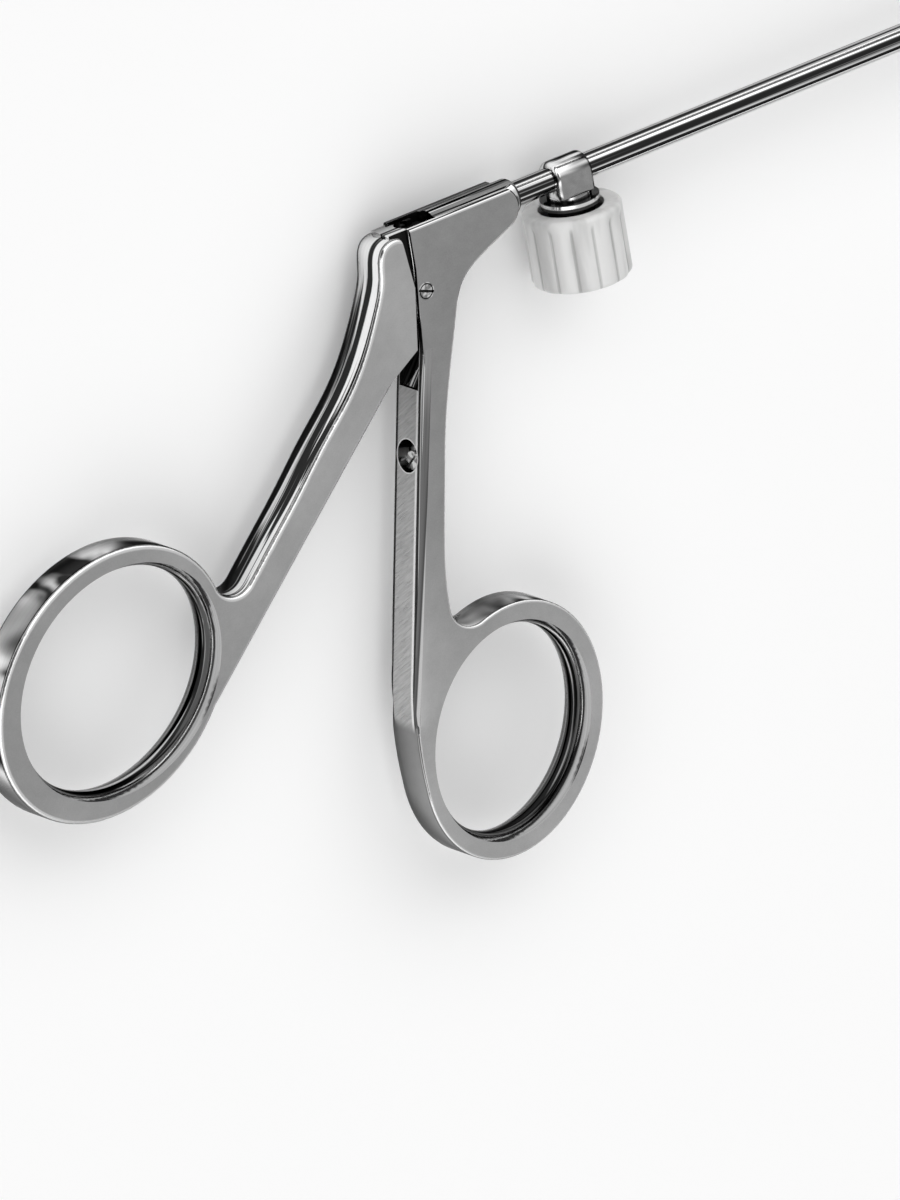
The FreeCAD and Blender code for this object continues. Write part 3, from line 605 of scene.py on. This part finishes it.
def smooth_skin(node_name, body, material, crease_deg=CREASE_DEG):
    """A copy of a CAD node with its triangles joined and its curved faces shaded smooth. It
    replaces the node."""
    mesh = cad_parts[node_name].data.copy()
    mesh.name = node_name + "_skin"
    mesh.materials.clear()
    join_corners(mesh)
    return finished_skin(mesh, node_name, body, material, crease_deg)


def finished_skin(mesh, node_name, body, material, crease_deg=CREASE_DEG):
    """The object of a finished mesh, smooth between its creases, in place of a CAD node."""
    mesh.materials.append(material)
    skin = bpy.data.objects.new(node_name + "_skin", mesh)
    bpy.context.scene.collection.objects.link(skin)
    mark_creases(mesh, math.radians(crease_deg))
    weighted = skin.modifiers.new("weighted_normals", "WEIGHTED_NORMAL")
    weighted.mode = "FACE_AREA_WITH_ANGLE"
    weighted.weight = 50
    weighted.keep_sharp = True
    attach(skin, body)
    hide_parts(node_name)
    return skin


def join_corners(mesh):
    """Joins the loose corners of a mesh's triangles that share a place."""
    work = bmesh.new()
    work.from_mesh(mesh)
    bmesh.ops.remove_doubles(work, verts=work.verts, dist=JOIN_DISTANCE)
    bmesh.ops.dissolve_degenerate(work, edges=work.edges, dist=THIN_TRIANGLE)
    work.to_mesh(mesh)
    work.free()
    mesh.update()


def mark_creases(mesh, angle):
    """Smooth shading, with each edge sharp where its two faces turn by more than the angle."""
    work = bmesh.new()
    work.from_mesh(mesh)
    for face in work.faces:
        face.smooth = True
    for edge in work.edges:
        edge.smooth = len(edge.link_faces) == 2 and edge.calc_face_angle(0.0) < angle
    work.to_mesh(mesh)
    work.free()
    mesh.update()


def rows(radius, depth, groove=0.0):
    """Rows of (radius, depth, groove depth). A plain number is repeated in each row."""
    return np.stack(np.broadcast_arrays(radius, depth, groove), axis=1)


def cap_section(settings):
    """Half of the cap's section, in rows of (radius, depth, groove depth) from the middle of the
    bottom round its corner, up the wall, over the round edge of the mouth, and inside down to the
    floor and round the collar. With t from 0 to a right angle, a round edge of radius e lies
    e (1 - sin t) from its end one way and e (1 - cos t) the other. The groove depth is 0 at the
    flat bottom and grows with sin t round the corner. At a share f of the run-out below the mouth's
    edge it is 3 f f - 2 f f f of the full depth."""
    turn = np.linspace(0.0, 0.5 * math.pi, EDGE_POINTS)
    late = 1.0 - np.sin(turn)
    early = 1.0 - np.cos(turn)
    wall_low = settings.bottom - settings.corner
    wall_high = settings.rim + settings.edge
    lip_edge = 0.25 * settings.edge
    under_lip = settings.rim + settings.lip_height
    floor = settings.bottom - settings.floor
    inner = settings.radius - settings.wall
    collar_top = floor - settings.collar_height
    wall_depth = np.linspace(wall_low, wall_high, WALL_POINTS)[1:-1]
    fade = np.minimum(1.0, (wall_depth - wall_high) / settings.run_out)
    return np.vstack((
        rows(settings.radius - settings.corner * late, settings.bottom - settings.corner * early,
             settings.groove * np.sin(turn)),
        rows(settings.radius, wall_depth, settings.groove * fade * fade * (3.0 - 2.0 * fade)),
        rows(settings.radius - settings.edge * early, settings.rim + settings.edge * late),
        rows(settings.mouth + lip_edge * late, settings.rim + lip_edge * early),
        rows((settings.mouth, inner), under_lip),
        rows((inner, settings.collar_outer), floor),
        rows((settings.collar_outer, settings.collar_inner), collar_top),
        rows((settings.collar_inner,), floor),
    ))


def ribbed_cap_mesh(settings):
    """A closed surface: the cap's section turned round the port's axis, ribbed on its outer wall.
    With u from -1 to 1 across a rib, the wall's radius is the section's less its groove depth times
    u squared, so ribs are round and grooves are sharp. A pole closes each end of the section."""
    section = cap_section(settings)
    sides = CAP_RIBS * RIB_POINTS
    side = np.arange(sides)
    angle = 2.0 * math.pi * side / sides
    across_rib = 2.0 * ((CAP_RIBS * side / sides) % 1.0) - 1.0
    radius, depth, groove = (column[:, None] for column in section.T)
    reach = radius - groove * across_rib ** 2
    x = PORT_AXIS_X + reach * np.cos(angle)
    y = np.broadcast_to(-depth, reach.shape)
    z = reach * np.sin(angle)
    poles = [(PORT_AXIS_X, -section[0][1], 0.0), (PORT_AXIS_X, -section[-1][1], 0.0)]
    points = np.vstack((np.stack((x, y, z), axis=2).reshape(-1, 3), poles))
    after = (side + 1) % sides
    row = np.arange(len(section) - 1)[:, None] * sides
    last_row = (len(section) - 1) * sides
    first_pole = np.full(sides, len(section) * sides)
    quads = np.stack((row + side, row + sides + side, row + sides + after, row + after), axis=2)
    bottom = np.stack((first_pole, side, after), axis=1)
    inside = np.stack((first_pole + 1, last_row + after, last_row + side), axis=1)
    faces = quads.reshape(-1, 4).tolist() + bottom.tolist() + inside.tolist()
    mesh = bpy.data.meshes.new("port_cap_skin")
    mesh.from_pydata(points.tolist(), [], faces)
    mesh.update()
    return mesh


class SteelSettings(bpy.types.PropertyGroup):
    """Tones and finishes of the steel."""

    edge_tone: bpy.props.FloatProperty(
        name="Edge tone", description="Reflectance of steel that is seen almost edge on",
        default=0.4, min=0, max=1)
    # The satin tones at the pivot and at each ring are the ends of a painted light gradient.
    lever_tone: bpy.props.FloatProperty(
        name="Lever tone", description="Reflectance of the thumb lever's satin sides at the pivot",
        default=0.52, min=0, max=1)
    handle_tone: bpy.props.FloatProperty(
        name="Handle tone",
        description="Reflectance of the fixed handle's satin sides at the pivot",
        default=0.37, min=0, max=1)
    thumb_ring_tone: bpy.props.FloatProperty(
        name="Thumb ring tone", description="Reflectance of the lever's satin sides at its ring",
        default=0.43, min=0, max=1)
    finger_ring_tone: bpy.props.FloatProperty(
        name="Finger ring tone", description="Reflectance of the handle's satin sides at its ring",
        default=0.52, min=0, max=1)
    # The bright and the dark streaks of the polish are painted reflections.
    polished_tone: bpy.props.FloatProperty(
        name="Polished tone", description="Reflectance of polished steel",
        default=0.85, min=0, max=1)
    painted_streak_dark: bpy.props.FloatProperty(
        name="Dark streaks", description="Reflectance in the dark streaks of the polish",
        default=0.03, min=0, max=1)
    # The rim's tone is a painted highlight.
    rim_highlight_tone: bpy.props.FloatProperty(
        name="Rim tone", description="Reflectance of the thin rim round the satin sides",
        default=0.8, min=0, max=1)
    swell: bpy.props.FloatProperty(
        name="Swell", description="Slope of the polished walls at their edges",
        default=0.4, min=0, max=1)
    satin_roughness: bpy.props.FloatProperty(
        name="Satin roughness", description="Roughness of the blasted sides",
        default=0.4, min=0, max=1)
    polished_roughness: bpy.props.FloatProperty(
        name="Polished roughness", description="Roughness of the polished edges",
        default=0.09, min=0, max=1)
    tube_roughness: bpy.props.FloatProperty(
        name="Tube roughness", description="Roughness of drawn and turned pieces",
        default=0.14, min=0, max=1)
    jaw_roughness: bpy.props.FloatProperty(
        name="Jaw roughness", description="Roughness of the flats of the jaws",
        default=0.26, min=0, max=1)
    jaw_round_roughness: bpy.props.FloatProperty(
        name="Round jaw roughness", description="Roughness of the round walls of the jaws",
        default=0.117, min=0, max=1)
    scratch_angle: bpy.props.FloatProperty(
        name="Scratch angle", description="Direction of the grinding marks on the back strip",
        default=math.radians(35.0), subtype="ANGLE")


class CapSettings(bpy.types.PropertyGroup):
    """Sizes and colour of the port's cap. Depths are measured down from the shaft's axis."""

    radius: bpy.props.FloatProperty(
        name="Radius", description="Over the ribs", default=0.00605, unit="LENGTH", precision=5)
    rim: bpy.props.FloatProperty(
        name="Rim", description="Depth of the mouth's edge",
        default=0.004, unit="LENGTH", precision=5)
    bottom: bpy.props.FloatProperty(
        name="Bottom", description="Depth of the flat bottom",
        default=0.0132, unit="LENGTH", precision=5)
    edge: bpy.props.FloatProperty(
        name="Edge", description="Radius of the mouth's round edge",
        default=0.0006, unit="LENGTH", precision=5)
    corner: bpy.props.FloatProperty(
        name="Corner", description="Radius of the bottom's corner",
        default=0.0007, unit="LENGTH", precision=5)
    groove: bpy.props.FloatProperty(
        name="Groove", description="Depth of the grooves between the ribs",
        default=0.00035, unit="LENGTH", precision=5)
    run_out: bpy.props.FloatProperty(
        name="Run-out", description="Length over which a groove fades out near the mouth",
        default=0.0012, unit="LENGTH", precision=5)
    mouth: bpy.props.FloatProperty(
        name="Mouth", description="Radius of the opening in the lip",
        default=0.00395, unit="LENGTH", precision=5)
    lip_height: bpy.props.FloatProperty(
        name="Lip", description="Thickness of the lip round the opening",
        default=0.001, unit="LENGTH", precision=5)
    wall: bpy.props.FloatProperty(
        name="Wall", description="Thickness of the wall and a rib",
        default=0.0011, unit="LENGTH", precision=5)
    floor: bpy.props.FloatProperty(
        name="Floor", description="Thickness of the bottom",
        default=0.0009, unit="LENGTH", precision=5)
    collar_inner: bpy.props.FloatProperty(
        name="Collar bore", description="Inner radius of the threaded collar",
        default=0.004, unit="LENGTH", precision=5)
    collar_outer: bpy.props.FloatProperty(
        name="Collar", description="Outer radius of the threaded collar",
        default=0.00455, unit="LENGTH", precision=5)
    collar_height: bpy.props.FloatProperty(
        name="Collar height", description="Height of the collar above the floor",
        default=0.006, unit="LENGTH", precision=5)
    colour: bpy.props.FloatVectorProperty(
        name="Colour", description="Colour of the cap's plastic",
        subtype="COLOR", default=(0.72, 0.72, 0.715), min=0, max=1)
    # The grooves' tone is painted shade; the clouds darken by the same share.
    shade: bpy.props.FloatProperty(
        name="Shade", description="Tone in the grooves, as a share of the colour",
        default=0.62, min=0, max=1)


class StageSettings(bpy.types.PropertyGroup):
    """Floor, light and camera."""

    floor_tone: bpy.props.FloatProperty(
        name="Floor tone", description="Reflectance of the floor", default=0.98, min=0, max=1)
    floor_reach: bpy.props.FloatProperty(
        name="Floor reach", description="From the forceps to the floor's edges",
        default=4.0, unit="LENGTH")
    floor_gap: bpy.props.FloatProperty(
        name="Floor gap", description="From the floor up to the forceps",
        default=0.00002, unit="LENGTH", precision=5)
    distance: bpy.props.FloatProperty(
        name="Camera distance", description="From the camera to the handle",
        default=4.0, unit="LENGTH")
    lens: bpy.props.FloatProperty(
        name="Lens", description="Focal length in millimetres",
        default=1019.8, subtype="DISTANCE_CAMERA")
    sky: bpy.props.FloatProperty(
        name="Sky strength", description="Strength of the light from all round",
        default=1.68, min=0)


class FORCEPS_OT_handle(bpy.types.Operator):
    """Dresses the two halves of the handle in satin and polished steel"""

    bl_idname = "forceps.handle"
    bl_label = "Handle"

    def execute(self, context):
        settings = context.scene.forceps_steel
        fixed = Half(
            material="forged_steel_handle", has_tongue=False,
            tone=settings.handle_tone, ring_tone=settings.finger_ring_tone,
            ring_centre=FINGER_RING, ring_radius=FINGER_RING_RADIUS,
            dull_side=FINGER_RING_DULL_SIDE)
        lever = Half(
            material="forged_steel_lever", has_tongue=True,
            tone=settings.lever_tone, ring_tone=settings.thumb_ring_tone,
            ring_centre=THUMB_RING, ring_radius=THUMB_RING_RADIUS,
            dull_side=THUMB_RING_DULL_SIDE)
        smooth_skin("fixed_handle", "handle", forged_steel(fixed, settings))
        smooth_skin("thumb_lever", "lever", forged_steel(lever, settings))
        return {"FINISHED"}


class FORCEPS_OT_small_parts(bpy.types.Operator):
    """Dresses the screws, the ball and the pins"""

    bl_idname = "forceps.small_parts"
    bl_label = "Screws and pins"

    def execute(self, context):
        settings = context.scene.forceps_steel
        metal = screw_steel("turned_steel_screws", settings)
        for name in ("pivot_screw", "lock_screw", "lock_ball", "jaw_pin"):
            smooth_skin(name, "handle", metal)
        smooth_skin("drive_pin", "rod", metal)
        return {"FINISHED"}


class FORCEPS_OT_shaft(bpy.types.Operator):
    """Dresses the shaft's tube, its pull rod and what is inside it"""

    bl_idname = "forceps.shaft"
    bl_label = "Shaft"

    def execute(self, context):
        settings = context.scene.forceps_steel
        metal = drawn_steel("drawn_steel_shaft", settings)
        for name, body in (
                ("shaft_tube", "handle"), ("pull_rod", "rod"), ("rod_ball", "rod"),
                ("rod_tip", "rod"), ("seal_sleeve", "handle"), ("rod_guide", "handle")):
            smooth_skin(name, body, metal)
        rubber = soft_rubber("seal_rubber")
        smooth_skin("rod_seal", "handle", rubber)
        smooth_skin("cap_seal", "cap", rubber)
        return {"FINISHED"}


class FORCEPS_OT_port(bpy.types.Operator):
    """Dresses the flushing port"""

    bl_idname = "forceps.port"
    bl_label = "Flushing port"

    def execute(self, context):
        settings = context.scene.forceps_steel
        metal = port_steel("turned_steel_port", settings)
        for name in ("port_block", "port_collar", "luer_connector"):
            smooth_skin(name, "handle", metal)
        return {"FINISHED"}


class FORCEPS_OT_cap(bpy.types.Operator):
    """Builds the ribbed cap of the flushing port"""

    bl_idname = "forceps.cap"
    bl_label = "Cap"

    def execute(self, context):
        settings = context.scene.forceps_cap
        plastic = moulded_plastic("white_plastic", settings)
        finished_skin(ribbed_cap_mesh(settings), "port_cap", "cap", plastic)
        return {"FINISHED"}


class FORCEPS_OT_jaws(bpy.types.Operator):
    """Dresses the jaws"""

    bl_idname = "forceps.jaws"
    bl_label = "Jaws"

    def execute(self, context):
        metal = milled_steel("milled_steel_jaws", context.scene.forceps_steel)
        smooth_skin("jaw_housing", "handle", metal)
        smooth_skin("moving_jaw", "jaw", metal, JAW_CREASE_DEG)
        return {"FINISHED"}


class FORCEPS_OT_stage(bpy.types.Operator):
    """Sets up the floor, the soft light and the camera"""

    bl_idname = "forceps.stage"
    bl_label = "Stage"

    def execute(self, context):
        settings = context.scene.forceps_stage
        make_floor(context.scene, settings)
        make_sky(context.scene, settings)
        make_camera(context.scene, settings)
        context.scene.view_settings.view_transform = "Standard"
        return {"FINISHED"}


def make_floor(scene, settings):
    """Pale matt floor that the forceps lies on."""
    level = cad_box[0].z - settings.floor_gap
    reach = settings.floor_reach
    sides = ((-1, -1), (1, -1), (1, 1), (-1, 1))
    corners = [(reach * side_x, reach * side_y, level) for side_x, side_y in sides]
    mesh = bpy.data.meshes.new("floor")
    mesh.from_pydata(corners, [], [(0, 1, 2, 3)])
    floor = bpy.data.objects.new("floor", mesh)
    scene.collection.objects.link(floor)
    paper = Shader("floor_paper")
    paper.set(Base_Color=grey4(settings.floor_tone), Roughness=1.0, Specular_IOR_Level=0.0)
    mesh.materials.append(paper.material)


def make_sky(scene, settings):
    """Soft light from all round. The polished steel shows its darker parts: a band low down, the
    side that the flat faces mirror to the camera, and the patch behind the camera. Below the
    horizon it is plain white."""
    world = bpy.data.worlds.new("studio")
    world.use_nodes = True
    scene.world = world
    sky = SkyShader(world)
    height = sky.axis(sky.direction, 2)
    low_band = height.ramp(0.06, 0.1) * (1.0 - height.ramp(0.26, 0.34))
    mirror_side = sky.dot(sky.direction, MIRROR_SIDE).ramp(0.45, 0.85)
    camera_side = sky.dot(sky.direction, CAMERA_BACK).ramp(0.93, 0.975)
    light = between(low_band, 1.0, 0.06) * between(mirror_side, 1.0, 0.38)
    light = light * between(camera_side, 1.0, 0.07)
    level = between(height.ramp(0.0, 0.05), 1.0, settings.sky * light)
    sky.fill(sky.background.inputs["Color"], sky.grey(level))
    sky.background.inputs["Strength"].default_value = 1.0


def make_camera(scene, settings):
    """Long lens that looks at the handle from the photograph's angle."""
    up = CAMERA_BACK.cross(CAMERA_RIGHT).normalized()
    right = up.cross(CAMERA_BACK)
    screw_face = PIVOT + Vector((0.0, 0.0, HALF_THICKNESS))
    target = screw_face + right * FRAME_CENTRE_RIGHT - up * FRAME_CENTRE_DOWN
    camera = bpy.data.objects.new("camera", bpy.data.cameras.new("camera"))
    scene.collection.objects.link(camera)
    camera.data.lens = settings.lens
    camera.data.sensor_width = SENSOR_MILLIMETRES
    camera.data.clip_start = CLIP_START
    camera.data.clip_end = CLIP_END
    axes = Matrix((right, up, CAMERA_BACK)).transposed().to_4x4()
    camera.matrix_world = Matrix.Translation(target + CAMERA_BACK * settings.distance) @ axes
    scene.camera = camera


class FORCEPS_PT_panel(bpy.types.Panel):
    """Sidebar panel with the settings and the operators"""

    bl_idname = "FORCEPS_PT_panel"
    bl_label = "Forceps"
    bl_space_type = "VIEW_3D"
    bl_region_type = "UI"
    bl_category = "Forceps"

    def draw(self, context):
        scene = context.scene
        for group in (scene.forceps_steel, scene.forceps_cap, scene.forceps_stage):
            for name in group.__annotations__:
                self.layout.prop(group, name)
        for operator in OPERATORS:
            self.layout.operator(operator.bl_idname)


OPERATORS = (
    FORCEPS_OT_handle, FORCEPS_OT_small_parts, FORCEPS_OT_shaft, FORCEPS_OT_port,
    FORCEPS_OT_cap, FORCEPS_OT_jaws, FORCEPS_OT_stage,
)
CLASSES = (SteelSettings, CapSettings, StageSettings) + OPERATORS + (FORCEPS_PT_panel,)


def register():
    for item in CLASSES:
        bpy.utils.register_class(item)
    bpy.types.Scene.forceps_steel = bpy.props.PointerProperty(type=SteelSettings)
    bpy.types.Scene.forceps_cap = bpy.props.PointerProperty(type=CapSettings)
    bpy.types.Scene.forceps_stage = bpy.props.PointerProperty(type=StageSettings)


def unregister():
    del bpy.types.Scene.forceps_stage
    del bpy.types.Scene.forceps_cap
    del bpy.types.Scene.forceps_steel
    for item in reversed(CLASSES):
        bpy.utils.unregister_class(item)


def main():
    """Registers the add-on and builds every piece."""
    register()
    bpy.ops.forceps.handle()
    bpy.ops.forceps.small_parts()
    bpy.ops.forceps.shaft()
    bpy.ops.forceps.port()
    bpy.ops.forceps.cap()
    bpy.ops.forceps.jaws()
    bpy.ops.forceps.stage()


if __name__ == "__main__":
    main()
